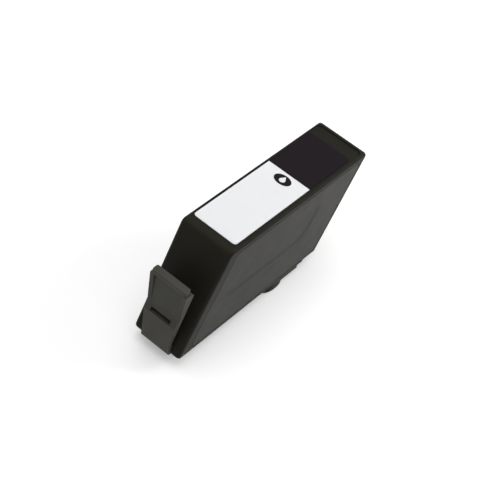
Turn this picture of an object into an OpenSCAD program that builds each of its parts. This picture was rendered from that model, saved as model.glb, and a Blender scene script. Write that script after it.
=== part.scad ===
// Inkjet ink cartridge with a sprung front latch lever.
// Millimetres. X is the width, Y runs from the lever (-Y) to the back, Z is up.
// The cartridge stands on the rim of its ink outlet and on two keel feet.

/* [Body] */
// Width of the body at its top
body_w = 21; // [16:0.5:30]
// Length of the body, the same at every height
body_l = 76.4; // [60:0.5:100]
// Height of the body from its underside to its top
body_h = 42.7; // [32:0.1:60]
// How far the leaning front and back faces run forward over the height
body_lean = 14.4; // [6:0.1:20]
// How much each side draws in towards the underside
side_draft = 0.65; // [0.2:0.05:1.2]
// Round between the top and the front face
front_top_r = 2.6; // [1.5:0.1:4]
// Round on the other long edges
edge_r = 1.7; // [0.8:0.1:2]
// Round along the outline of each side
side_edge_r = 1.2; // [0.4:0.1:1.5]
// Thickness of the closed side wall
side_wall = 1.5; // [1:0.1:2.5]
// How much higher the underside is behind the outlet
tail_step = 1.8; // [0.5:0.1:2.5]
// Length of the raised underside at the back
tail_l = 7.5; // [4:0.5:12]

/* [Side cover] */
// Distance of the cover seam from the top
seam_top = 2.5; // [1.5:0.1:4]
// Distance of the cover seam from the front face
seam_front = 4.7; // [3:0.1:7]
// Distance of the cover seam from the back face and the underside
seam_rest = 2.4; // [1.5:0.1:4]
// Thickness of the cover at the underside
cover_t = 1.6; // [1:0.1:2.4]
// Width of the ledge that the cover is welded to
ledge_w = 1.0; // [0.6:0.1:2]
// Gap around the cover
cover_gap = 0.2; // [0.1:0.05:0.4]
// Round in the corners of the cover
cover_r = 2.2; // [1:0.1:4]
// Depth of the shallow field in the cover
field_depth = 0.25; // [0.1:0.05:0.6]
// Height of the shallow field
field_h = 18.5; // [10:0.5:26]
// Length of the shallow field
field_l = 49.5; // [20:0.5:56]
// Corner round of the shallow field
field_r = 6; // [1:0.5:8]
// Distance of the field behind the front seam
field_front = 2.2; // [1:0.1:5]
// Distance of the field below the upper seam
field_top = 4.1; // [1:0.1:8]
// Depth of the tongues that locate the cover in the two chambers
tongue_h = 1.0; // [0.6:0.1:2]
// Thickness of these tongues
tongue_t = 0.9; // [0.6:0.1:1.5]

/* [Chambers] */
// Distance along Y of the dividing wall from the front face
divider_at = 33; // [24:0.5:45]
// Thickness of the dividing wall
divider_t = 1.3; // [0.8:0.1:2.5]
// Height of the bubble passage under the dividing wall
passage_h = 2.4; // [1:0.1:4]
// Width of the bubble passage
passage_w = 6; // [3:0.5:10]
// Thickness of the air ribs under the ceiling of the foam chamber
air_rib_t = 0.9; // [0.6:0.1:1.5]
// Height of these air ribs
air_rib_h = 1.6; // [0.8:0.1:3]
// Number of air ribs
air_ribs = 5; // [2:1:8]
// Space between foam and chamber walls
foam_clear = 0.3; // [0.1:0.05:0.6]
// Height of the dense lower foam
low_foam_h = 13; // [6:0.5:20]

/* [Outlet] */
// Distance along Y of the outlet from the front edge of the top
outlet_at = 40.6; // [34:0.1:48]
// Width of the outlet tower
tower_w = 19; // [14:0.1:19.5]
// Length of the outlet tower
tower_l = 16.5; // [14.5:0.1:20]
// Height of the outlet tower, which is also the height of the feet
tower_h = 4.2; // [3:0.1:7]
// Corner round of the tower
tower_r = 7; // [3:0.1:7.2]
// Width of the low apron behind the tower
apron_w = 19; // [14:0.1:19.5]
// Reach of the apron behind the middle of the tower
apron_l = 13.2; // [10:0.1:16]
// Height of the apron
apron_h = 1.3; // [0.5:0.1:2]
// Corner round of the apron
apron_r = 1.5; // [0.5:0.1:4]
// Bore of the outlet
bore_d = 8.8; // [6:0.1:10]
// Diameter of the wick above the bore
wick_d = 9.8; // [7:0.1:10.5]
// Thickness of the lip that holds the wick
lip_t = 1.6; // [1:0.1:3]
// Gap around the wick
wick_gap = 0.1; // [0.05:0.05:0.3]
// Thickness of the filter mesh
filter_t = 0.3; // [0.2:0.05:0.6]
// Diameter of the filter mesh
filter_d = 12.6; // [11:0.1:14]
// Inner diameter of the seal ring
seal_id = 10.8; // [10:0.1:12]
// Width of the seal ring
seal_w = 1.5; // [1:0.1:2]
// Height of the seal ring
seal_h = 1.0; // [0.6:0.1:1.5]
// How far the seal ring stays inside the rim
seal_in = 0.1; // [0:0.05:0.3]

/* [Feet] */
// Distance of the keel feet behind the front edge of the underside
foot_at = 6; // [5:0.5:12]
// Length of a keel foot
foot_l = 7; // [4:0.5:12]
// Thickness of a keel foot
foot_t = 1.8; // [1.2:0.1:3]
// Distance between the two keel feet
foot_pitch = 9; // [6:0.5:12]

/* [Latch lever] */
// Width of the lever at its top
lever_w = 15.4; // [12:0.1:18]
// Width of the lever at its root
lever_root_w = 11.8; // [9:0.1:16]
// Radius of the rounded root that the lever turns on
root_r = 2.2; // [1.2:0.1:2.6]
// Gap between the root and its seat
root_gap = 0.2; // [0.1:0.05:0.4]
// Height of the turning axis above the underside
root_up = 1.8; // [0.5:0.1:3]
// Depth of the turning axis behind the front face
root_in = 1.1; // [0:0.1:2]
// How far the lever leans out towards its top, in degrees
lever_tilt = 3.5; // [0:0.5:8]
// Thickness of the lever blade
blade_t = 1.3; // [0.9:0.1:2]
// Height of the lever above its turning axis
lever_h = 30.6; // [24:0.1:34]
// Depth of the side flanges at the top of the lever
flange_d = 4; // [2.5:0.1:5]
// Thickness of the side flanges
flange_t = 1.2; // [0.8:0.1:2]
// How far the upper blade is set back from the lower blade
blade_set = 1.4; // [0.4:0.1:2]
// Depth of the finger recess at its upper end, where it is deepest
recess_d = 0.7; // [0.2:0.05:1]
// Width of the rim around the finger recess
recess_rim = 1.6; // [0.8:0.1:2]
// Depth from front to back of the catch bar
catch_d = 3.1; // [2.4:0.1:4]
// Height of the catch bar
catch_h = 1.9; // [1.4:0.1:3.5]
// How far each end of the catch bar is in from the side of the lever
catch_in = 0.6; // [0.4:0.1:1.6]
// How far the catch bar stands out in front of the upper blade
catch_out = 0.25; // [0:0.05:0.6]
// Rounding of the catch bar
catch_r = 0.45; // [0.2:0.05:0.7]
// Height of the lever slot above the turning axis
slot_z = 13.9; // [10:0.1:20]
// Width of the lever slot
slot_w = 8.4; // [5:0.1:10]
// Height of the lever slot
slot_h = 1.7; // [1:0.1:3]
// How far above the slot the lever starts to step forward
ramp_over = 1.6; // [0.2:0.1:2]

/* [Label] */
// Depth of the label recess in the top
panel_depth = 0.35; // [0.2:0.05:0.8]
// Distance of the label recess from the sides
panel_side = 0.75; // [0.5:0.05:2]
// Distance of the label recess from the front and back edges
panel_end = 2.9; // [2.4:0.1:6]
// Thickness of the label
label_t = 0.2; // [0.1:0.05:0.3]
// Gap between the label and the side of its recess
label_side_gap = 0.95; // [0.2:0.05:1.5]
// Gap between the label and the front of its recess
label_end_gap = 1.3; // [0.3:0.1:3]
// Distance of the label from the back of its recess
label_back_gap = 6.1; // [0.5:0.1:20]
// How far the label sits off the middle of its recess, towards the closed side
label_shift = 0.3; // [0:0.05:0.8]
// Length of the white part of the label
white_l = 39.7; // [20:0.1:60]
// Corner round of the label
label_r = 1.1; // [0.5:0.1:3]
// Thickness of the printed layer
print_t = 0.05; // [0.03:0.01:0.1]
// Length of the printed oval across the label
oval_w = 6.7; // [3:0.1:9]
// Length of the printed oval along the label
oval_l = 4.9; // [2:0.1:8]
// Distance of the oval centre from the end of the white part
oval_at = 3.7; // [2:0.1:10]
// Diameter of the ink drop in the oval
drop_d = 2.3; // [1:0.1:3.5]

/* [Vent and filling] */
// Diameter of the filling holes
fill_d = 3.0; // [2:0.1:4]
// Diameter of the plug heads
plug_head_d = 4.6; // [3.5:0.1:6]
// Thickness of the plug heads
plug_head_t = 0.8; // [0.5:0.1:1.5]
// Clearance around plugs, membrane and film
plug_gap = 0.05; // [0.03:0.01:0.15]
// Diameter of the vent membrane
vent_d = 5; // [3:0.1:7]
// Thickness of the vent membrane
vent_t = 0.4; // [0.2:0.05:0.8]
// Diameter of the vent hole
vent_hole_d = 1.2; // [0.6:0.1:2]
// Width of the air groove
groove_w = 0.6; // [0.4:0.05:1]
// Depth of the air groove
groove_d = 0.5; // [0.3:0.05:1]
// Number of turns of the air groove
groove_turns = 4; // [2:1:6]
// Distance between the runs of the air groove
groove_pitch = 1.6; // [1.2:0.1:3]
// Thickness of the film over the air groove
film_t = 0.15; // [0.1:0.05:0.3]
// Distance of the film from the membrane and from the rear plug
film_gap = 1.2; // [0.5:0.1:3]

/* [Chip] */
// Width of the chip board
chip_w = 13; // [8:0.1:16]
// Height of the chip board
chip_h = 9; // [6:0.1:12]
// Thickness of the chip board
chip_t = 0.8; // [0.5:0.1:1.2]
// Gap around the chip board
chip_gap = 0.15; // [0.1:0.05:0.3]
// Distance of the chip board from the underside, along the back face
chip_up = 5; // [3.5:0.1:15]
// Number of contacts in a row
pad_cols = 4; // [2:1:5]
// Width of a contact
pad_w = 1.7; // [1:0.1:2.2]
// Height of a contact
pad_h = 2.3; // [1:0.1:3]
// Distance between contacts across the board
pad_pitch = 2.3; // [2:0.1:3]
// Distance between the two rows of contacts
row_pitch = 3.1; // [2:0.1:4]
// Thickness of a contact
pad_t = 0.06; // [0.04:0.01:0.15]
// Size of the resin drop over the chip
capsule_d = 5; // [3:0.1:6]
// Height of the resin drop
capsule_h = 0.8; // [0.5:0.1:1.2]
// Diameter of the pins that hold the board
pin_d = 1.2; // [0.8:0.1:1.6]

/* [Hidden] */
plastic = [0.20, 0.20, 0.18];
lever_plastic = [0.24, 0.24, 0.22];
paper = [0.94, 0.94, 0.95];
ink_print = [0.16, 0.13, 0.15];
foam_colour = [0.10, 0.10, 0.11];
metal = [0.70, 0.70, 0.68];
rubber = [0.12, 0.12, 0.12];
gold = [0.85, 0.68, 0.35];
board_green = [0.10, 0.30, 0.18];
resin = [0.06, 0.06, 0.06];
clear_film = [0.75, 0.78, 0.80];
fine = 32;
eps = 0.01;
// Heights of the body
z_bot = tower_h;
z_top = z_bot + body_h;
z_tail = z_bot + tail_step;
lean_k = body_lean / body_h;
lean_sec = sqrt(1 + lean_k * lean_k);
lean_a = atan(lean_k);
// The origin is in the middle of the whole length
front_reach = (body_h - root_up) * lean_k - root_in + root_r * cos(lever_tilt)
  + (slot_z - slot_h / 2) * sin(lever_tilt);
back_reach = body_l - edge_r * (lean_k + lean_sec - 1);
y_top = (front_reach - back_reach) / 2;
// The turning axis of the lever lies just inside the lower front edge
root_z = z_bot + root_up;
root_y = front_y(root_z) + root_in;
blade_y = root_y - root_r;
lever_top = root_z + lever_h;
upper_y = blade_y + blade_set;
plate_t = blade_t + recess_d;
flange_top = lever_top - catch_h;
ramp_top = root_z + slot_z + slot_h / 2 + ramp_over;
ramp_end = root_z + slot_z - slot_h / 2;
blade_r = 0.35;
half_low = body_w / 2 - side_draft;
x_ledge = half_low - cover_t;
x_in = -(half_low - side_wall);
ceiling = seam_top + ledge_w;
front_in = seam_front + ledge_w;
rest_in = seam_rest + ledge_w;
z_floor = z_bot + rest_in;
z_ceil = z_top - ceiling;
outlet_y = y_top + outlet_at;
panel_z = z_top - panel_depth;
panel_w = body_w - 2 * panel_side;
panel_y0 = y_top + panel_end;
panel_l = body_l - 2 * panel_end;
label_w = panel_w - 2 * label_side_gap;
label_l = panel_l - label_end_gap - label_back_gap;
label_y0 = panel_y0 + label_end_gap;
label_z = panel_z + label_t;
print_y0 = label_y0 + white_l;
fill_front_y = y_top + divider_at / 2 + front_in / 2;
vent_y = y_top + body_l - rest_in - vent_d * 1.6;
groove_run = panel_w * 0.55;
film_w = groove_run + 4 * groove_w;
film_l = groove_turns * groove_pitch + 4 * groove_w;
film_y = vent_y - vent_d / 2 - film_gap - film_l / 2;
film_z = panel_z - film_t;
fill_rear_y = film_y - film_l / 2 - film_gap - plug_head_d / 2;

// Y of the leaning front face at a height
function front_y(z) = y_top + (z - z_top) * lean_k;

// Half width of the drafted body at a height
function half_at(z) = body_w / 2 - side_draft * (z_top - z) / body_h;

// A drum along X with rounded rims, used for each long edge of the body
module edge_drum(w, r, rim) {
  rotate([0, 90, 0])
    rotate_extrude($fn = fine)
      intersection() {
        offset(r = rim, $fn = 20)
          square([2 * (r - rim), w - 2 * rim], center = true);
        translate([0, -w / 2])
          square([r, w]);
      }
}

// One edge drum set into the corner between a level face and a leaning face
module corner_drum(z, r, back) {
  y = back ? front_y(z) + body_l - r * lean_sec : front_y(z) + r * lean_sec;
  translate([0, y, z])
    edge_drum(2 * half_at(z), r, side_edge_r);
}

// The closed outer form of the body, before the step at the back
module body_form() {
  hull() {
    corner_drum(z_top - front_top_r, front_top_r, false);
    corner_drum(z_top - edge_r, edge_r, true);
    corner_drum(z_bot + edge_r, edge_r, false);
    corner_drum(z_bot + edge_r, edge_r, true);
  }
}

// Sweeps a drawing in Y and Z along X between two planes
module along_x(x0, x1) {
  translate([x0, 0, 0])
    rotate([90, 0, 90])
      linear_extrude(x1 - x0)
        children();
}

// A leaning panel in Y and Z between two offsets from the front face
module leaning_panel(a, b, z0, z1, r) {
  offset(r = r, $fn = 24)
    offset(delta = -r)
      polygon([
        [front_y(z0) + a, z0],
        [front_y(z0) + b, z0],
        [front_y(z1) + b, z1],
        [front_y(z1) + a, z1]
      ]);
}

// The outline of the side cover, drawn smaller by a gap
module cover_outline(gap) {
  offset(delta = -gap)
    leaning_panel(seam_front * lean_sec, body_l - seam_rest * lean_sec,
      z_bot + seam_rest, z_top - seam_top, cover_r);
}

// The free ink chamber, in front of the dividing wall
module ink_outline(gap) {
  offset(delta = -gap)
    leaning_panel(front_in * lean_sec, divider_at, z_floor, z_ceil, 1.2);
}

// The foam chamber, behind the dividing wall
module foam_outline(gap) {
  offset(delta = -gap)
    leaning_panel(divider_at + divider_t, body_l - rest_in * lean_sec, z_floor, z_ceil, 1.2);
}

// A flat plate with rounded corners, from its front left corner
module round_plate(w, l, r) {
  translate([-w / 2 + r, r])
    offset(r = r, $fn = 24)
      square([w - 2 * r, l - 2 * r]);
}

// Places its children on the back face, with Y up the face and Z into the body
module on_back_face() {
  translate([0, front_y(z_bot) + body_l, z_bot])
    rotate([90 - lean_a, 0, 0])
      children();
}

// The outlet tower with a tapered foot and an eased rim
module tower() {
  translate([0, outlet_y, 0]) {
    translate([0, 0.5 - tower_l / 2, 0])
      linear_extrude(tower_h)
        round_plate(tower_w - 1, tower_l - 1, tower_r - 0.5);
    translate([0, -tower_l / 2, 0.5])
      linear_extrude(tower_h + edge_r)
        round_plate(tower_w, tower_l, tower_r);
  }
}

// The low apron behind the outlet tower
module outlet_apron() {
  translate([0, outlet_y, z_bot - apron_h])
    linear_extrude(apron_h + edge_r)
      round_plate(apron_w, apron_l, apron_r);
}

// A keel foot with sloped ends
module keel_foot(x) {
  f = front_y(z_bot) + foot_at;
  along_x(x - foot_t / 2, x + foot_t / 2)
    polygon([
      [f + tower_h * 0.3, 0],
      [f + foot_l - tower_h * 0.3, 0],
      [f + foot_l, z_bot + 1],
      [f, z_bot + 1]
    ]);
}

// The serpentine air groove in the top
module air_groove() {
  for (i = [0 : groove_turns - 1]) {
    translate([-groove_run / 2, film_y - film_l / 2 + 2 * groove_w + i * groove_pitch, 0])
      square([groove_run, groove_w]);
    if (i < groove_turns - 1) {
      translate([(i % 2 == 0 ? groove_run / 2 - groove_w : -groove_run / 2),
        film_y - film_l / 2 + 2 * groove_w + i * groove_pitch, 0])
        square([groove_w, groove_pitch + groove_w]);
    }
  }
}

// Two chambers, bubble passage and the seat of the side cover
module housing_cavities() {
  along_x(x_in, body_w)
    ink_outline(0);
  along_x(x_in, body_w)
    foam_outline(0);
  along_x(x_ledge, body_w)
    cover_outline(0);
  along_x(-passage_w / 2, passage_w / 2)
    leaning_panel(divider_at - 2, divider_at + divider_t + 2, z_floor, z_floor + passage_h, 0.2);
}

// Cuts for the outlet: seal groove, bore, wick and filter
module outlet_cuts() {
  translate([0, outlet_y, 0]) {
    translate([0, 0, -eps])
      cylinder(h = z_floor + 2 * eps, d = bore_d, $fn = 48);
    translate([0, 0, lip_t])
      cylinder(h = z_floor, d = wick_d + 2 * wick_gap, $fn = 48);
    translate([0, 0, z_floor - filter_t])
      cylinder(h = filter_t + eps, d = filter_d + 2 * wick_gap, $fn = 48);
    translate([0, 0, -eps])
      difference() {
        cylinder(h = seal_h + seal_in + eps, d = seal_id + 2 * seal_w + 2 * plug_gap, $fn = 48);
        translate([0, 0, -1])
          cylinder(h = seal_h + 2, d = seal_id - 2 * plug_gap, $fn = 48);
      }
  }
}

// Cuts in the top: label panel, filling holes, vent and film seat
module top_cuts() {
  translate([0, panel_y0, panel_z])
    linear_extrude(panel_depth + 1)
      round_plate(panel_w, panel_l, label_r + label_side_gap);
  for (y = [fill_front_y, fill_rear_y]) {
    translate([0, y, z_ceil - 1])
      cylinder(h = ceiling + 2, d = fill_d, $fn = 32);
    translate([0, y, panel_z - plug_head_t])
      cylinder(h = plug_head_t + 1, d = plug_head_d + 2 * plug_gap, $fn = 32);
  }
  translate([0, vent_y, z_ceil - 1])
    cylinder(h = ceiling + 2, d = vent_hole_d, $fn = 24);
  translate([0, vent_y, panel_z - vent_t])
    cylinder(h = vent_t + 1, d = vent_d + 2 * plug_gap, $fn = 32);
  translate([0, film_y - film_l / 2 - plug_gap, film_z])
    linear_extrude(film_t + 1)
      round_plate(film_w + 2 * plug_gap, film_l + 2 * plug_gap, 0.8);
  translate([0, 0, film_z - groove_d])
    linear_extrude(groove_d + eps)
      air_groove();
}

// The pocket for the chip board and its resin drop
module chip_pocket() {
  on_back_face() {
    translate([-chip_w / 2 - chip_gap, chip_up - chip_gap, -2])
      cube([chip_w + 2 * chip_gap, chip_h + 2 * chip_gap, 2 + chip_t]);
    translate([0, chip_up + chip_h / 2, 0])
      cylinder(h = chip_t + capsule_h + 0.2, d = capsule_d + 0.6, $fn = 32);
  }
}

// Two staking pins that stand in the chip pocket
module chip_pins(d, h) {
  on_back_face()
    for (x = [-1, 1])
      translate([x * (chip_w / 2 - pin_d), chip_up + chip_h / 2, 0.5 * chip_t - 0.5 * h])
        cylinder(h = h, d = d, $fn = 24);
}

// A rib under the ceiling that holds the foam off it
module air_rib(at) {
  along_x(x_in - 0.5, x_ledge - tongue_h - foam_clear)
    leaning_panel(at - air_rib_t / 2, at + air_rib_t / 2, z_ceil - air_rib_h, z_ceil + 0.5, 0.1);
}

module housing() {
  color(plastic) {
    difference() {
      union() {
        difference() {
          union() {
            body_form();
            tower();
            outlet_apron();
            keel_foot(-foot_pitch / 2);
            keel_foot(foot_pitch / 2);
          }
          housing_cavities();
        }
        for (i = [1 : air_ribs])
          air_rib(divider_at + divider_t + i * (body_l - rest_in - divider_at) / (air_ribs + 1));
      }
      outlet_cuts();
      top_cuts();
      chip_pocket();
      // The tail is stepped up behind the outlet
      translate([-body_w, front_y(z_bot) + body_l - tail_l, -1])
        cube([2 * body_w, tail_l + body_lean, 1 + z_tail]);
      // The seat of the lever root
      translate([-lever_root_w / 2 - 1.5 * root_gap, root_y, root_z])
        rotate([0, 90, 0])
          cylinder(h = lever_root_w + 3 * root_gap, r = root_r + root_gap, $fn = 48);
    }
    chip_pins(pin_d, chip_t + 0.4);
  }
}

// One locating tongue inside a chamber mouth
module tongue() {
  difference() {
    offset(delta = -foam_clear)
      children();
    offset(delta = -foam_clear - tongue_t)
      children();
  }
}

module side_cover() {
  color(plastic) {
    difference() {
      intersection() {
        body_form();
        along_x(x_ledge, body_w)
          cover_outline(cover_gap);
      }
      // The shallow field follows the drafted side
      translate([half_at(z_top) - field_depth, 0, z_top])
        rotate([0, atan(side_draft / body_h), 0])
          translate([0, 0, -z_top])
            along_x(0, 5)
              leaning_panel(seam_front * lean_sec + field_front,
                seam_front * lean_sec + field_front + field_l,
                z_top - seam_top - field_top - field_h, z_top - seam_top - field_top, field_r);
    }
    along_x(x_ledge - tongue_h, x_ledge + eps)
      tongue() ink_outline(0);
    along_x(x_ledge - tongue_h, x_ledge + eps)
      tongue() foam_outline(0);
  }
}

// Side view of the lever: root, lower blade, step and deep upper flanges
module lever_side() {
  union() {
    translate([root_y, root_z])
      circle(r = root_r, $fn = 40);
    offset(r = blade_r, $fn = 16)
      offset(delta = -blade_r)
        polygon([
          [blade_y, root_z - blade_r],
          [blade_y + blade_t, root_z - blade_r],
          [blade_y + blade_t, root_z + 0.14 * lever_h],
          [upper_y + flange_d, flange_top - 1.4],
          [upper_y + flange_d - 1, flange_top],
          [upper_y, flange_top],
          [upper_y, ramp_top],
          [blade_y, ramp_end]
        ]);
  }
}

// Front view of the lever, wider towards its top
module lever_front(grow) {
  offset(delta = grow)
    polygon([
      [-lever_root_w / 2, root_z - 2 * root_r],
      [lever_root_w / 2, root_z - 2 * root_r],
      [lever_root_w / 2, root_z + root_r],
      [lever_w / 2, flange_top],
      [lever_w / 2, lever_top],
      [-lever_w / 2, lever_top],
      [-lever_w / 2, flange_top],
      [-lever_root_w / 2, root_z + root_r]
    ]);
}

// Sweeps a drawing in X and Z along Y between two planes
module along_y(y0, y1) {
  translate([0, y1, 0])
    rotate([90, 0, 0])
      linear_extrude(y1 - y0)
        children();
}

// Leans the upright lever out from its turning axis
module leaned_out() {
  translate([0, root_y, root_z])
    rotate([lever_tilt, 0, 0])
      translate([0, -root_y, -root_z])
        children();
}

// The channel between the two side flanges, open at the back and the top
module lever_channel() {
  along_y(upper_y + plate_t, upper_y + flange_d + 1)
    intersection() {
      lever_front(-flange_t);
      translate([-lever_w, root_z + 0.16 * lever_h])
        square([2 * lever_w, lever_h]);
    }
}

// The finger recess, which runs out towards the slot
module finger_recess() {
  intersection() {
    along_x(-lever_w, lever_w)
      polygon([
        [upper_y - 1, ramp_top],
        [upper_y, ramp_top],
        [upper_y + recess_d, flange_top - 0.2],
        [upper_y - 1, flange_top - 0.2]
      ]);
    along_y(upper_y - 2, upper_y + flange_d)
      lever_front(-recess_rim);
  }
}

// The ledge along the top that the carriage's latch holds down
module catch_bar() {
  w = lever_w - 2 * catch_in;
  intersection() {
    along_x(-w, w)
      translate([upper_y - catch_out + catch_r, flange_top + catch_r])
        offset(r = catch_r, $fn = 16)
          square([catch_d - 2 * catch_r, catch_h - 2 * catch_r]);
    translate([0, 0, flange_top - 1])
      linear_extrude(catch_h + 2)
        translate([-w / 2 + 2 * catch_r, upper_y - catch_out + 2 * catch_r])
          offset(r = 2 * catch_r, $fn = 24)
            square([w - 4 * catch_r, catch_d - 4 * catch_r]);
  }
}

module latch_lever() {
  color(lever_plastic)
    leaned_out() {
      difference() {
        intersection() {
          along_x(-lever_w, lever_w)
            lever_side();
          along_y(blade_y - 1, upper_y + flange_d + 1)
            lever_front(0);
        }
        lever_channel();
        finger_recess();
        along_y(blade_y - 1, upper_y + flange_d)
          translate([-slot_w / 2, root_z + slot_z - slot_h / 2])
            square([slot_w, slot_h]);
      }
      // The bar is sunk into the blade by a hair, so that they are one
      translate([0, 0, -eps])
        catch_bar();
    }
}

module top_label() {
  color(paper)
    translate([-label_shift, label_y0, panel_z])
      linear_extrude(label_t)
        round_plate(label_w, label_l, label_r);
}

// A plain ink drop: a round base and a pointed top
module drop_shape() {
  circle(d = drop_d, $fn = 32);
  polygon([
    [-drop_d / 2 * cos(30), drop_d / 2 * sin(30)],
    [drop_d / 2 * cos(30), drop_d / 2 * sin(30)],
    [0, drop_d * 0.95]
  ]);
}

module label_print() {
  color(ink_print) {
    translate([-label_shift, 0, label_z])
      linear_extrude(print_t)
        intersection() {
          translate([0, label_y0])
            round_plate(label_w, label_l, label_r);
          translate([-label_w, print_y0])
            square([2 * label_w, label_l]);
        }
    translate([-label_shift, print_y0 - oval_at, label_z])
      linear_extrude(print_t)
        difference() {
          scale([oval_w / oval_l, 1])
            circle(d = oval_l, $fn = 48);
          translate([0, -drop_d * 0.1])
            drop_shape();
        }
  }
}

module vent_film() {
  color(clear_film)
    translate([0, film_y - film_l / 2, film_z])
      linear_extrude(film_t)
        round_plate(film_w, film_l, 0.8);
}

module vent_membrane() {
  color(paper)
    translate([0, vent_y, panel_z - vent_t])
      cylinder(h = vent_t, d = vent_d, $fn = 32);
}

module fill_plugs() {
  color(plastic)
    for (y = [fill_front_y, fill_rear_y])
      translate([0, y, 0]) {
        translate([0, 0, panel_z - plug_head_t])
          cylinder(h = plug_head_t, d = plug_head_d, $fn = 32);
        translate([0, 0, z_ceil + 0.3])
          cylinder(h = ceiling - panel_depth - plug_head_t - 0.3, d = fill_d - 2 * plug_gap, $fn = 32);
      }
}

// A foam block between two heights of the foam chamber
module foam_block(z0, z1) {
  along_x(x_in + foam_clear, x_ledge - tongue_h - foam_clear)
    intersection() {
      foam_outline(foam_clear);
      translate([-body_l, z0])
        square([2 * body_l, z1 - z0]);
    }
}

module upper_foam() {
  color(foam_colour)
    foam_block(z_floor + low_foam_h + foam_clear, z_ceil - air_rib_h - foam_clear);
}

module lower_foam() {
  color(foam_colour * 0.7)
    foam_block(z_floor + foam_clear, z_floor + low_foam_h);
}

module outlet_wick() {
  color(paper * 0.8)
    translate([0, outlet_y, lip_t])
      cylinder(h = z_floor - filter_t - lip_t, d = wick_d, $fn = 48);
}

module outlet_filter() {
  color(metal)
    translate([0, outlet_y, z_floor - filter_t])
      cylinder(h = filter_t, d = filter_d, $fn = 48);
}

module outlet_seal() {
  color(rubber)
    translate([0, outlet_y, seal_in])
      difference() {
        cylinder(h = seal_h, d = seal_id + 2 * seal_w, $fn = 48);
        translate([0, 0, -1])
          cylinder(h = seal_h + 2, d = seal_id, $fn = 48);
      }
}

module chip_board() {
  color(board_green)
    difference() {
      on_back_face()
        translate([-chip_w / 2, chip_up, 0])
          cube([chip_w, chip_h, chip_t]);
      chip_pins(pin_d + 2 * plug_gap, chip_t * 3);
    }
}

module chip_contacts() {
  color(gold)
    on_back_face()
      for (i = [0 : pad_cols - 1], j = [-1, 1])
        translate([
          (i - (pad_cols - 1) / 2) * pad_pitch - pad_w / 2,
          chip_up + chip_h / 2 + j * row_pitch / 2 - pad_h / 2,
          -pad_t
        ])
          cube([pad_w, pad_h, pad_t]);
}

module chip_resin() {
  color(resin)
    on_back_face()
      translate([0, chip_up + chip_h / 2, chip_t])
        cylinder(h = capsule_h, d1 = capsule_d, d2 = capsule_d * 0.6, $fn = 32);
}

housing();
side_cover();
latch_lever();
top_label();
label_print();
vent_film();
vent_membrane();
fill_plugs();
upper_foam();
lower_foam();
outlet_wick();
outlet_filter();
outlet_seal();
chip_board();
chip_contacts();
chip_resin();
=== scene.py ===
"""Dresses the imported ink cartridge: finishes, rounded edges, floor, light and camera."""

import logging
import math
from dataclasses import dataclass, field
from enum import Enum
from typing import Any, Optional

import bpy
from mathutils import Matrix, Vector


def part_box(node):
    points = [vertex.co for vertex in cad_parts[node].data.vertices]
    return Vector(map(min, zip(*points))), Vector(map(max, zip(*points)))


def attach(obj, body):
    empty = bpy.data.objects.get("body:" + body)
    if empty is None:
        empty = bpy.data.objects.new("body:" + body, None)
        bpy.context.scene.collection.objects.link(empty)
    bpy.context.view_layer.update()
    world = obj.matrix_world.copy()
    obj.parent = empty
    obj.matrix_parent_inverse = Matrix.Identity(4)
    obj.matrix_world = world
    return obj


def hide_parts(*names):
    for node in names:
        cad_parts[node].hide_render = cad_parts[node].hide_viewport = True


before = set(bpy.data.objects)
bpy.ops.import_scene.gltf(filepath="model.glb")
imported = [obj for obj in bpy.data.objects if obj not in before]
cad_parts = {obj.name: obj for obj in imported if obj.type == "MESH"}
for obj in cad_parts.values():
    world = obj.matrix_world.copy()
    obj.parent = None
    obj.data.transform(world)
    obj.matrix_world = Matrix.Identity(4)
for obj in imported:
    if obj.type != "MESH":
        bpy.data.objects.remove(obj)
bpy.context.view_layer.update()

LOG = logging.getLogger("cartridge")
MM = 0.001
Colour = tuple[float, float, float]
Point = tuple[float, float, float]


class BodyName(str, Enum):
    """The rigid bodies that pieces ride on."""

    CARTRIDGE = "cartridge"
    LEVER = "lever"


# Shader maths


class Wire:
    """A shader socket that takes part in Python expressions."""

    def __init__(self, kit: "NodeKit", socket: Any) -> None:
        self.kit = kit
        self.socket = socket

    def _math(self, operation: str, left: Any, right: Any) -> "Wire":
        """Adds one Math node.

        Args:
            operation: The Math node's operation.
            left: The first value, a wire or a number.
            right: The second value, a wire or a number.

        Returns:
            The node's result.
        """
        return self.kit.add("ShaderNodeMath", {"operation": operation}, {0: left, 1: right})

    def __add__(self, other: Any) -> "Wire":
        """Adds a value."""
        return self._math("ADD", self, other)

    def __radd__(self, other: Any) -> "Wire":
        """Adds to a number."""
        return self._math("ADD", other, self)

    def __sub__(self, other: Any) -> "Wire":
        """Takes a value away."""
        return self._math("SUBTRACT", self, other)

    def __rsub__(self, other: Any) -> "Wire":
        """Is taken away from a number."""
        return self._math("SUBTRACT", other, self)

    def __mul__(self, other: Any) -> "Wire":
        """Multiplies by a value."""
        return self._math("MULTIPLY", self, other)

    def largest(self, other: Any) -> "Wire":
        """The larger of two values."""
        return self._math("MAXIMUM", self, other)

    def step(self, low: float, high: float) -> "Wire":
        """A smooth ramp from 0 at low to 1 at high.

        Args:
            low: Where the ramp starts.
            high: Where the ramp ends.

        Returns:
            The ramp's value.
        """
        return self.kit.add(
            "ShaderNodeMapRange",
            {"interpolation_type": "SMOOTHSTEP"},
            {"Value": self, "From Min": low, "From Max": high, "To Min": 0.0, "To Max": 1.0},
        )


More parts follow.
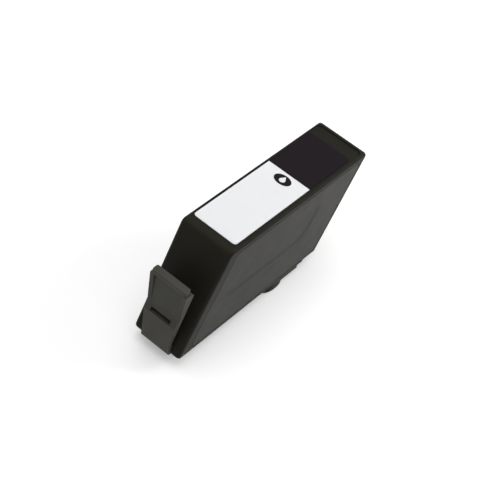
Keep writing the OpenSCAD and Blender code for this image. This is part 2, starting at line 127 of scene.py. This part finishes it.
class NodeKit:
    """Adds nodes to one material or world."""

    def __init__(self, tree: Any) -> None:
        """Clears the tree."""
        self.tree = tree
        tree.nodes.clear()

    def add(
        self, kind: str, settings: Optional[dict] = None, inputs: Optional[dict] = None, out: Any = 0
    ) -> Wire:
        """Adds a node, sets it up and links its inputs.

        Args:
            kind: The node's type name.
            settings: Properties that are set before any socket.
            inputs: Values or wires by socket name or number.
            out: The output that the wire stands for.

        Returns:
            The wire of that output.
        """
        node = self.tree.nodes.new(kind)
        for name, value in (settings or {}).items():
            setattr(node, name, value)
        for name, value in (inputs or {}).items():
            socket = node.inputs[name]
            if isinstance(value, Wire):
                self.tree.links.new(value.socket, socket)
            else:
                socket.default_value = value
        return Wire(self, node.outputs[out])

    def place(self) -> Wire:
        """Object coordinates, in metres."""
        return self.add("ShaderNodeTexCoord", out="Object")

    def axes(self, vector: Wire) -> tuple[Wire, Wire, Wire]:
        """Splits a vector into its three parts."""
        node = self.tree.nodes.new("ShaderNodeSeparateXYZ")
        self.tree.links.new(vector.socket, node.inputs[0])
        return Wire(self, node.outputs[0]), Wire(self, node.outputs[1]), Wire(self, node.outputs[2])

    def noise(self, size: float, detail: float = 3.0, rough: float = 0.5, at: Optional[Wire] = None) -> Wire:
        """Noise with blotches of a given size.

        Args:
            size: Width of a blotch in metres.
            detail: Number of finer layers.
            rough: Strength of the finer layers.
            at: Where it is read, or the object's own coordinates.

        Returns:
            A value around 0.5.
        """
        return self.add(
            "ShaderNodeTexNoise",
            {"noise_dimensions": "3D"},
            {"Vector": at or self.place(), "Scale": 1.0 / size, "Detail": detail, "Roughness": rough},
            out=0,
        )

    def mix(self, factor: Any, first: Any, second: Any) -> Wire:
        """Mixes two colours."""
        node = self.tree.nodes.new("ShaderNodeMix")
        node.data_type = "RGBA"
        for socket, value in ((node.inputs[0], factor), (node.inputs[6], first), (node.inputs[7], second)):
            if isinstance(value, Wire):
                self.tree.links.new(value.socket, socket)
            elif isinstance(value, (int, float)):
                socket.default_value = value
            else:
                socket.default_value = (*value, 1.0)
        return Wire(self, node.outputs[2])

    def sine(self, angle: Wire) -> Wire:
        """The sine of an angle in radians."""
        return self.add("ShaderNodeMath", {"operation": "SINE"}, {0: angle})

    def bump(self, height: Wire, depth: float, strength: float = 1.0) -> Wire:
        """Turns a height into a bumped normal.

        Args:
            height: The height, from 0 to 1.
            depth: What a height of 1 is, in metres.
            strength: How much of it shows.

        Returns:
            The normal.
        """
        return self.add("ShaderNodeBump", None, {"Height": height, "Distance": depth, "Strength": strength})

    def add_output(self, kind: str, shader: Wire) -> None:
        """Adds an output node and links the shader to it."""
        node = self.tree.nodes.new(kind)
        self.tree.links.new(shader.socket, node.inputs[0])


def new_material(name: str) -> tuple[bpy.types.Material, NodeKit]:
    """Starts a material with an empty tree."""
    material = bpy.data.materials.new(name)
    material.use_nodes = True
    return material, NodeKit(material.node_tree)


def finish_material(
    material: bpy.types.Material,
    kit: NodeKit,
    colour: Any,
    roughness: Any,
    normal: Optional[Wire] = None,
    fixed: Optional[dict] = None,
) -> bpy.types.Material:
    """Ends a material with one Principled shader.

    Args:
        material: The material.
        kit: Its node kit.
        colour: A wire or a plain colour.
        roughness: A wire or a number.
        normal: A bumped normal, if there is one.
        fixed: Values that are the same all over, by socket name.

    Returns:
        The same material.
    """
    inputs: dict[str, Any] = {"Base Color": colour if isinstance(colour, Wire) else (*colour, 1.0)}
    inputs["Roughness"] = roughness
    if normal is not None:
        inputs["Normal"] = normal
    inputs.update(fixed or {})
    kit.add_output("ShaderNodeOutputMaterial", kit.add("ShaderNodeBsdfPrincipled", None, inputs))
    return material


# Finishes


def shade(colour: Colour, amount: float) -> Colour:
    """A colour times a value, at most white."""
    return tuple(min(1.0, c * amount) for c in colour)


@dataclass(frozen=True)
class MouldedPlastic:
    """Black plastic from a spark-eroded mould."""

    name: str
    colour: Colour
    grain: float = 0.30 * MM
    grain_depth: float = 0.012 * MM
    grain_strength: float = 0.6
    grain_share: float = 0.4
    grain_rough: float = 0.06
    flow_size: float = 22 * MM
    shine_size: float = 7 * MM
    shine_rough: float = 0.12
    roughness: float = 0.52
    mottle: float = 0.22
    specular: float = 0.16
    specular_tint: Colour = (1.0, 0.99, 0.94)
    sheen: float = 0.06
    sheen_roughness: float = 0.4
    sheen_tint: Colour = (0.95, 0.93, 0.86)

    def material(self) -> bpy.types.Material:
        """Builds the material: a fine grain, faint flow marks and handling shine."""
        material, kit = new_material(self.name)
        grain = kit.noise(self.grain, 2.0, 0.6)
        flow = kit.noise(self.flow_size, 3.0, 0.55)
        shine = kit.noise(self.shine_size, 4.0, 0.6)
        blotches = flow.step(0.3, 0.7) * (1 - self.grain_share) + grain * self.grain_share
        colour = kit.mix(blotches, shade(self.colour, 1 - self.mottle), shade(self.colour, 1 + self.mottle))
        rough = self.roughness + (shine - 0.5) * self.shine_rough + (grain - 0.5) * self.grain_rough
        return finish_material(
            material, kit, colour, rough, kit.bump(grain, self.grain_depth, self.grain_strength),
            {"Specular IOR Level": self.specular, "Specular Tint": (*self.specular_tint, 1.0),
             "Sheen Weight": self.sheen, "Sheen Roughness": self.sheen_roughness,
             "Sheen Tint": (*self.sheen_tint, 1.0)},
        )


@dataclass(frozen=True)
class LabelFilm:
    """Satin label film, white or printed."""

    name: str
    colour: Colour
    roughness: float = 0.34
    tint: float = 0.02
    specular: float = 0.4
    cloud_size: float = 9 * MM
    cloud_rough: float = 0.08
    peel_size: float = 0.9 * MM
    peel_depth: float = 0.01 * MM
    peel_strength: float = 0.35

    def cloud(self, kit: NodeKit) -> Wire:
        """Broad, faint unevenness of the film."""
        return kit.noise(self.cloud_size, 3.0, 0.5)

    def ended(
        self, material: bpy.types.Material, kit: NodeKit, colour: Wire, cloud: Wire
    ) -> bpy.types.Material:
        """Ends a film's material with its orange-peel surface."""
        peel = kit.noise(self.peel_size, 2.0, 0.5)
        return finish_material(
            material, kit, colour, self.roughness + (cloud - 0.5) * self.cloud_rough,
            kit.bump(peel, self.peel_depth, self.peel_strength), {"Specular IOR Level": self.specular},
        )

    def material(self) -> bpy.types.Material:
        """Builds the material: an even colour with a faint orange-peel surface."""
        material, kit = new_material(self.name)
        cloud = self.cloud(kit)
        colour = kit.mix(cloud, shade(self.colour, 1 - self.tint), shade(self.colour, 1 + self.tint))
        return self.ended(material, kit, colour, cloud)


@dataclass(frozen=True)
class PrintedLabel:
    """The label under its print: white in front and printed through behind."""

    name: str
    white: LabelFilm
    printed: LabelFilm
    edge: float

    def material(self) -> bpy.types.Material:
        """Builds the material: two fields of colour that meet across the label."""
        material, kit = new_material(self.name)
        _, y, _ = kit.axes(kit.place())
        behind = kit.add("ShaderNodeMath", {"operation": "GREATER_THAN"}, {0: y, 1: self.edge})
        cloud = self.white.cloud(kit)
        clean = kit.mix(cloud, shade(self.white.colour, 1 - self.white.tint), self.white.colour)
        return self.white.ended(material, kit, kit.mix(behind, clean, self.printed.colour), cloud)


@dataclass(frozen=True)
class InkySponge:
    """Open foam or felt that is soaked with ink."""

    name: str
    colour: Colour
    cell: float = 0.5 * MM
    # The next two factors scale the colour: painted shade in the cell hollows, painted light on the cell
    # walls.
    hollow_painted_shade: float = 0.4
    wall_painted_light: float = 1.9
    wet: float = 0.35
    dry: float = 0.4
    pore_depth: float = 0.15 * MM
    pore_strength: float = 0.8
    specular: float = 0.5

    def material(self) -> bpy.types.Material:
        """Builds the material: round open cells, painted shade in their hollows, painted light on their
        walls, and wet glints.
        """
        material, kit = new_material(self.name)
        cells = kit.add(
            "ShaderNodeTexVoronoi", {"feature": "F1"},
            {"Vector": kit.place(), "Scale": 1 / self.cell}, out="Distance",
        )
        pores = cells.step(0.1, 0.6)
        # Painted shade darkens the cell hollows and painted light brightens the walls.
        colour = kit.mix(pores, shade(self.colour, self.hollow_painted_shade), shade(self.colour, self.wall_painted_light))
        return finish_material(
            material, kit, colour, self.wet + pores * self.dry,
            kit.bump(pores, self.pore_depth, self.pore_strength), {"Specular IOR Level": self.specular},
        )


@dataclass(frozen=True)
class SmoothRubber:
    """Soft black seal rubber."""

    name: str
    colour: Colour = (0.016, 0.016, 0.017)
    dust: Colour = (0.05, 0.05, 0.052)
    dust_size: float = 1.6 * MM
    dust_share: float = 0.5
    dust_rough: float = 0.2
    roughness: float = 0.5
    grain: float = 0.25 * MM
    grain_depth: float = 0.01 * MM
    grain_strength: float = 0.5

    def material(self) -> bpy.types.Material:
        """Builds the material: dull, with a bloom of fine dust."""
        material, kit = new_material(self.name)
        bloom = kit.noise(self.dust_size, 4.0, 0.6).step(0.45, 0.8)
        colour = kit.mix(bloom * self.dust_share, self.colour, self.dust)
        return finish_material(
            material, kit, colour, self.roughness + bloom * self.dust_rough,
            kit.bump(kit.noise(self.grain), self.grain_depth, self.grain_strength),
        )


@dataclass(frozen=True)
class WovenMesh:
    """Fine steel filter cloth."""

    name: str
    pitch: float = 0.16 * MM
    gap: Colour = (0.02, 0.02, 0.02)
    wire: Colour = (0.55, 0.54, 0.52)
    roughness: float = 0.3
    gap_rough: float = 0.3
    wire_height: float = 0.04 * MM
    wire_strength: float = 0.8
    metallic: float = 0.9

    def material(self) -> bpy.types.Material:
        """Builds the material: crossing wires with dark gaps."""
        material, kit = new_material(self.name)
        x, y, _ = kit.axes(kit.place())
        turn = 2 * math.pi / self.pitch
        wires = (kit.sine(x * turn).largest(kit.sine(y * turn)) + 1.0) * 0.5
        colour = kit.mix(wires.step(0.5, 0.85), self.gap, self.wire)
        return finish_material(
            material, kit, colour, self.roughness + (1 - wires) * self.gap_rough,
            kit.bump(wires, self.wire_height, self.wire_strength), {"Metallic": self.metallic},
        )


@dataclass(frozen=True)
class PlatedMetal:
    """Gold-plated contact."""

    name: str
    colour: Colour = (0.86, 0.60, 0.24)
    worn: float = 0.82
    rub_size: float = 0.8 * MM
    rub_across: float = 6.0
    rub_along: float = 0.4
    roughness: float = 0.22
    rub_rough: float = 0.16
    rub_depth: float = 0.006 * MM
    rub_strength: float = 0.5

    def material(self) -> bpy.types.Material:
        """Builds the material: bright, with fine rub marks."""
        material, kit = new_material(self.name)
        x, y, z = kit.axes(kit.place())
        across, along = x * self.rub_across, z * self.rub_along
        stretched = kit.add("ShaderNodeCombineXYZ", None, {0: across, 1: y, 2: along})
        rubs = kit.noise(self.rub_size, 4.0, 0.6, stretched)
        colour = kit.mix(rubs.step(0.35, 0.7), shade(self.colour, self.worn), self.colour)
        return finish_material(
            material, kit, colour, self.roughness + rubs * self.rub_rough,
            kit.bump(rubs, self.rub_depth, self.rub_strength), {"Metallic": 1.0},
        )


@dataclass(frozen=True)
class SolderMask:
    """Green lacquer over a small circuit board."""

    name: str
    colour: Colour = (0.012, 0.085, 0.035)
    crest: float = 1.5
    pitch: float = 0.45 * MM
    roughness: float = 0.28
    weave_rough: float = 0.08
    weave_depth: float = 0.008 * MM
    weave_strength: float = 0.4

    def material(self) -> bpy.types.Material:
        """Builds the material: glossy lacquer with the weave of the board under it."""
        material, kit = new_material(self.name)
        x, _, z = kit.axes(kit.place())
        turn = 2 * math.pi / self.pitch
        weave = (kit.sine(x * turn) * kit.sine(z * turn) + 1.0) * 0.5
        return finish_material(
            material, kit, kit.mix(weave * 0.5, self.colour, shade(self.colour, self.crest)),
            self.roughness + weave * self.weave_rough,
            kit.bump(weave, self.weave_depth, self.weave_strength),
        )


@dataclass(frozen=True)
class ClearFilm:
    """Thin glossy sealing film."""

    name: str
    colour: Colour = (0.62, 0.64, 0.66)
    # Colour factor in the ripple troughs: painted shade.
    trough_painted_shade: float = 0.9
    ripple_size: float = 1.5 * MM
    roughness: float = 0.12
    ripple_rough: float = 0.1
    ripple_depth: float = 0.02 * MM
    ripple_strength: float = 0.5

    def material(self) -> bpy.types.Material:
        """Builds the material: glossy with faint heat-seal ripples, and painted shade in their troughs."""
        material, kit = new_material(self.name)
        ripple = kit.noise(self.ripple_size, 2.0, 0.4)
        return finish_material(
            # The ripple troughs are darkened as painted shade.
            material, kit, kit.mix(ripple, shade(self.colour, self.trough_painted_shade), self.colour),
            self.roughness + ripple * self.ripple_rough,
            kit.bump(ripple, self.ripple_depth, self.ripple_strength),
        )


@dataclass(frozen=True)
class FinishSet:
    """Every finish of the cartridge."""

    shell: MouldedPlastic = MouldedPlastic("shell_plastic", (0.0108, 0.0103, 0.0068), specular=0.08)
    cover: MouldedPlastic = MouldedPlastic("cover_plastic", (0.0100, 0.0095, 0.0060), specular=0.165)
    # The lever's base colour is painted light: about five times the shell's, standing in for the brighter
    # light that falls on the lever.
    lever: MouldedPlastic = MouldedPlastic(
        "lever_plastic", (0.056, 0.0548, 0.0465), roughness=0.48, specular=0.09
    )
    label: LabelFilm = LabelFilm("label_white", (0.86, 0.87, 0.885), specular=0.3)
    print_: LabelFilm = LabelFilm(
        "label_print", (0.0085, 0.0055, 0.0080), roughness=0.45, tint=0.1, specular=0.06
    )
    foam: InkySponge = InkySponge("inky_foam", (0.010, 0.010, 0.012), 0.7 * MM)
    dense_foam: InkySponge = InkySponge("inky_dense_foam", (0.007, 0.007, 0.009), 0.4 * MM)
    felt: InkySponge = InkySponge("inky_felt", (0.030, 0.030, 0.034), 0.25 * MM)
    membrane: LabelFilm = LabelFilm("vent_membrane", (0.80, 0.80, 0.79), roughness=0.7)
    seal: SmoothRubber = SmoothRubber("seal_rubber")
    mesh: WovenMesh = WovenMesh("filter_mesh")
    contacts: PlatedMetal = PlatedMetal("contact_gold")
    board: SolderMask = SolderMask("board_lacquer")
    resin: LabelFilm = LabelFilm("chip_resin", (0.008, 0.008, 0.008), roughness=0.18)
    film: ClearFilm = ClearFilm("vent_film")


# Bench


class Bench:
    """Operators that work on one object at a time."""

    @staticmethod
    def only(obj: bpy.types.Object) -> None:
        """Makes one object the only selected and the active one."""
        if bpy.context.mode != "OBJECT":
            bpy.ops.object.mode_set(mode="OBJECT")
        bpy.ops.object.select_all(action="DESELECT")
        obj.hide_set(False)
        obj.select_set(True)
        bpy.context.view_layer.objects.active = obj

    @staticmethod
    def named(name: str) -> bpy.types.Object:
        """Names the new active object and returns it."""
        obj = bpy.context.object
        obj.name = name
        obj.data.name = name
        return obj

    @staticmethod
    def apply_all(obj: bpy.types.Object) -> None:
        """Applies every modifier."""
        Bench.only(obj)
        for modifier in list(obj.modifiers):
            bpy.ops.object.modifier_apply(modifier=modifier.name)

    @staticmethod
    def copy_of(node: str, name: str) -> bpy.types.Object:
        """A merged copy of a CAD node.

        Args:
            node: The CAD node's name.
            name: The copy's name.

        Returns:
            The copy, with doubles merged and flat faces joined up.
        """
        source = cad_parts[node]
        copy = bpy.data.objects.new(name, source.data.copy())
        copy.data.name = name
        copy.data.materials.clear()
        bpy.context.scene.collection.objects.link(copy)
        Bench.only(copy)
        bpy.ops.object.mode_set(mode="EDIT")
        bpy.ops.mesh.select_all(action="SELECT")
        bpy.ops.mesh.remove_doubles(threshold=0.002 * MM)
        bpy.ops.mesh.dissolve_limited(angle_limit=math.radians(0.6))
        bpy.ops.object.mode_set(mode="OBJECT")
        return copy

    @staticmethod
    def ease_edges(obj: bpy.types.Object, width: float, segments: int = 2, angle: float = 35.0) -> None:
        """Rounds the sharp edges and smooths the shading.

        Args:
            obj: The piece.
            width: Width of the rounding in metres.
            segments: Faces across the rounding.
            angle: Edges flatter than this, in degrees, stay as they are.
        """
        Bench.only(obj)
        bevel = obj.modifiers.new("eased", "BEVEL")
        bevel.width = width
        bevel.segments = segments
        bevel.limit_method = "ANGLE"
        bevel.angle_limit = math.radians(angle)
        bevel.use_clamp_overlap = True
        bevel.miter_outer = "MITER_ARC"
        Bench.apply_all(obj)
        bpy.ops.object.shade_smooth_by_angle(angle=math.radians(angle))
        weighted = obj.modifiers.new("flat_faces", "WEIGHTED_NORMAL")
        weighted.mode = "FACE_AREA"
        weighted.weight = 50
        weighted.keep_sharp = True
        Bench.apply_all(obj)


def dress(obj: bpy.types.Object, material: bpy.types.Material) -> None:
    """Gives a piece its only material."""
    obj.data.materials.clear()
    obj.data.materials.append(material)
    for face in obj.data.polygons:
        face.material_index = 0


# Sub-assemblies


@dataclass
class Shell:
    """The housing and the cover that is welded into its side."""

    finishes: FinishSet
    eased: float = 0.14 * MM
    cover_eased: float = 0.16 * MM
    field_slope: float = 1.1 * MM
    pieces: list[bpy.types.Object] = field(default_factory=list)

    def build(self) -> list[bpy.types.Object]:
        """Makes the eased housing and side cover.

        Returns:
            The new pieces.
        """
        jobs = (
            ("housing", "moulded_housing", self.eased, self.finishes.shell, "black_shell"),
            ("side_cover", "welded_cover", self.cover_eased, self.finishes.cover, "black_cover"),
        )
        for node, name, width, finish, slot in jobs:
            piece = Bench.copy_of(node, name)
            if node == "side_cover":
                self.slope_field(piece)
            Bench.ease_edges(piece, width)
            dress(piece, finish.material())
            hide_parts(node)
            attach(piece, BodyName.CARTRIDGE.value)
            self.pieces.append(piece)
        return self.pieces

    def slope_field(self, cover: bpy.types.Object) -> None:
        """Draws the floor of the shallow field in, so that its rim slopes softly.

        Args:
            cover: The copied side cover.
        """
        outer = [face for face in cover.data.polygons if face.normal.x > 0.99]
        floor = sorted(outer, key=lambda face: face.area)[-2]
        spots = [cover.data.vertices[i].co for i in floor.vertices]
        length = max(p.y for p in spots) - min(p.y for p in spots)
        height = max(p.z for p in spots) - min(p.z for p in spots)
        centre = tuple(floor.center)
        Bench.only(cover)
        for part in (cover.data.vertices, cover.data.edges, cover.data.polygons):
            for item in part:
                item.select = False
        floor.select = True
        bpy.ops.object.mode_set(mode="EDIT")
        bpy.ops.mesh.select_mode(type="FACE")
        bpy.ops.transform.resize(
            value=(1.0, 1 - 2 * self.field_slope / length, 1 - 2 * self.field_slope / height),
            center_override=centre,
        )
        bpy.ops.object.mode_set(mode="OBJECT")


@dataclass
class LatchLever:
    """The sprung lever on the front."""

    finishes: FinishSet
    eased: float = 0.45 * MM
    segments: int = 3

    def build(self) -> list[bpy.types.Object]:
        """Makes the eased lever.

        Returns:
            The new piece.
        """
        piece = Bench.copy_of("latch_lever", "pressed_lever")
        Bench.ease_edges(piece, self.eased, self.segments)
        dress(piece, self.finishes.lever.material())
        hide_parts("latch_lever")
        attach(piece, BodyName.LEVER.value)
        return [piece]


@dataclass
class InnerParts:
    """What is carried over from the CAD model with a finish of its own."""

    finishes: FinishSet
    white_length: float = 39.7 * MM

    def build(self) -> list[bpy.types.Object]:
        """Dresses the carried-over nodes.

        Returns:
            Nothing new: the nodes themselves stay.
        """
        f = self.finishes
        jobs = {
            "label_print": f.print_, "vent_film": f.film, "vent_membrane": f.membrane,
            "fill_plugs": f.shell, "upper_foam": f.foam, "lower_foam": f.dense_foam, "outlet_wick": f.felt,
            "outlet_filter": f.mesh, "outlet_seal": f.seal, "chip_board": f.board,
            "chip_contacts": f.contacts, "chip_resin": f.resin,
        }
        for node, finish in jobs.items():
            dress(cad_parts[node], finish.material())
        front_edge = min(corner[1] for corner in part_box("top_label"))
        label = PrintedLabel("label_film", f.label, f.print_, front_edge + self.white_length)
        dress(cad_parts["top_label"], label.material())
        return []


# Studio


@dataclass
class Studio:
    """Floor, light and camera."""

    floor_size: float = 6.0
    paper: Colour = (0.85, 0.85, 0.85)
    room: float = 0.36
    top_at: Point = (-0.10, -0.05, 0.90)
    top_aim: Point = (0, 0, 0.02)
    top_size: float = 0.90
    top_power: float = 4.6
    right_at: Point = (0.30, 0.42, 0.28)
    right_aim: Point = (0.05, 0.09, 0)
    right_size: float = 0.25
    right_power: float = 0.14
    right_spread: float = 55.0
    lift: float = 0.32
    lens: float = 99.946
    at: Point = (0.14940, -0.29554, 0.34706)
    azimuth: float = 27.001
    elevation: float = 44.511
    roll: float = 17.0

    def build(self) -> None:
        """Sets the whole studio up."""
        self.world()
        self.floor()
        self.lamps()
        self.camera()

    @staticmethod
    def seen_rays(kit: NodeKit) -> Wire:
        """1 for the rays that see the white background: camera, glossy and transmission rays."""
        rays = [kit.add("ShaderNodeLightPath", out=name) for name in
                ("Is Camera Ray", "Is Glossy Ray", "Is Transmission Ray")]
        return rays[0].largest(rays[1]).largest(rays[2])

    def world(self) -> None:
        """A dim white room that looks white to the camera."""
        world = bpy.data.worlds.new("studio_room")
        world.use_nodes = True
        bpy.context.scene.world = world
        kit = NodeKit(world.node_tree)
        rays = self.seen_rays(kit)
        room = kit.add("ShaderNodeBackground", None, {"Color": (1, 1, 1, 1), "Strength": self.room})
        white = kit.add("ShaderNodeBackground", None, {"Color": (1, 1, 1, 1), "Strength": 1.0})
        mixed = kit.add("ShaderNodeMixShader", None, {0: rays, 1: room, 2: white})
        kit.add_output("ShaderNodeOutputWorld", mixed)

    def floor(self) -> None:
        """A white floor that keeps the shadow."""
        bpy.ops.object.select_all(action="DESELECT")
        bpy.ops.mesh.primitive_plane_add(size=self.floor_size, location=(0, 0, 0))
        floor = Bench.named("studio_floor")
        material, kit = new_material("floor_white")
        seen = self.seen_rays(kit)
        paper = kit.add("ShaderNodeBsdfDiffuse", None, {"Color": (*self.paper, 1)})
        glow = kit.add("ShaderNodeEmission", None, {"Color": (1, 1, 1, 1), "Strength": self.lift})
        lifted = kit.add("ShaderNodeAddShader", None, {0: paper, 1: glow})
        mixed = kit.add("ShaderNodeMixShader", None, {0: seen, 1: paper, 2: lifted})
        kit.add_output("ShaderNodeOutputMaterial", mixed)
        dress(floor, material)

    def lamp(
        self, name: str, at: Point, aim: Point, size: float, power: float, spread: float = 180.0
    ) -> None:
        """Adds one soft area lamp.

        Args:
            name: The lamp's name.
            at: Where it hangs.
            aim: The point that it faces.
            size: Its width in metres.
            power: Its power in watts.
            spread: Angle of its beam in degrees.
        """
        data = bpy.data.lights.new(name, "AREA")
        data.shape = "DISK"
        data.size = size
        data.energy = power
        data.spread = math.radians(spread)
        lamp = bpy.data.objects.new(name, data)
        bpy.context.scene.collection.objects.link(lamp)
        lamp.location = at
        lamp.rotation_euler = (Vector(aim) - Vector(at)).to_track_quat("-Z", "Y").to_euler()

    def lamps(self) -> None:
        """A large soft light from above and a small weak one from the rear right."""
        self.lamp("top_softbox", self.top_at, self.top_aim, self.top_size, self.top_power)
        self.lamp(
            "rear_softbox", self.right_at, self.right_aim,
            self.right_size, self.right_power, self.right_spread,
        )

    def camera(self) -> None:
        """The photograph's camera, found from the edges of the body."""
        az, el, roll = (math.radians(v) for v in (self.azimuth, self.elevation, self.roll))
        back = Vector((math.sin(az) * math.cos(el), -math.cos(az) * math.cos(el), math.sin(el)))
        level = Vector((math.cos(az), math.sin(az), 0))
        upright = back.cross(level)
        right = math.cos(roll) * level + math.sin(roll) * upright
        up = -math.sin(roll) * level + math.cos(roll) * upright
        data = bpy.data.cameras.new("portrait_camera")
        data.sensor_width = 36.0
        data.sensor_fit = "HORIZONTAL"
        data.lens = self.lens
        data.clip_start = 0.01
        camera = bpy.data.objects.new("portrait_camera", data)
        bpy.context.scene.collection.objects.link(camera)
        turn = Matrix((right, up, back)).transposed().to_4x4()
        camera.matrix_world = Matrix.Translation(Vector(self.at)) @ turn
        bpy.context.scene.camera = camera


def main() -> None:
    """Builds every sub-assembly, then the studio."""
    logging.basicConfig(level=logging.INFO, format="%(name)s: %(message)s")
    bpy.context.scene.view_settings.view_transform = "Standard"
    finishes = FinishSet()
    for part in (Shell(finishes), LatchLever(finishes), InnerParts(finishes)):
        for piece in part.build():
            LOG.info("%s: %s has %d faces", type(part).__name__, piece.name, len(piece.data.polygons))
    Studio().build()


if __name__ == "__main__":
    main()
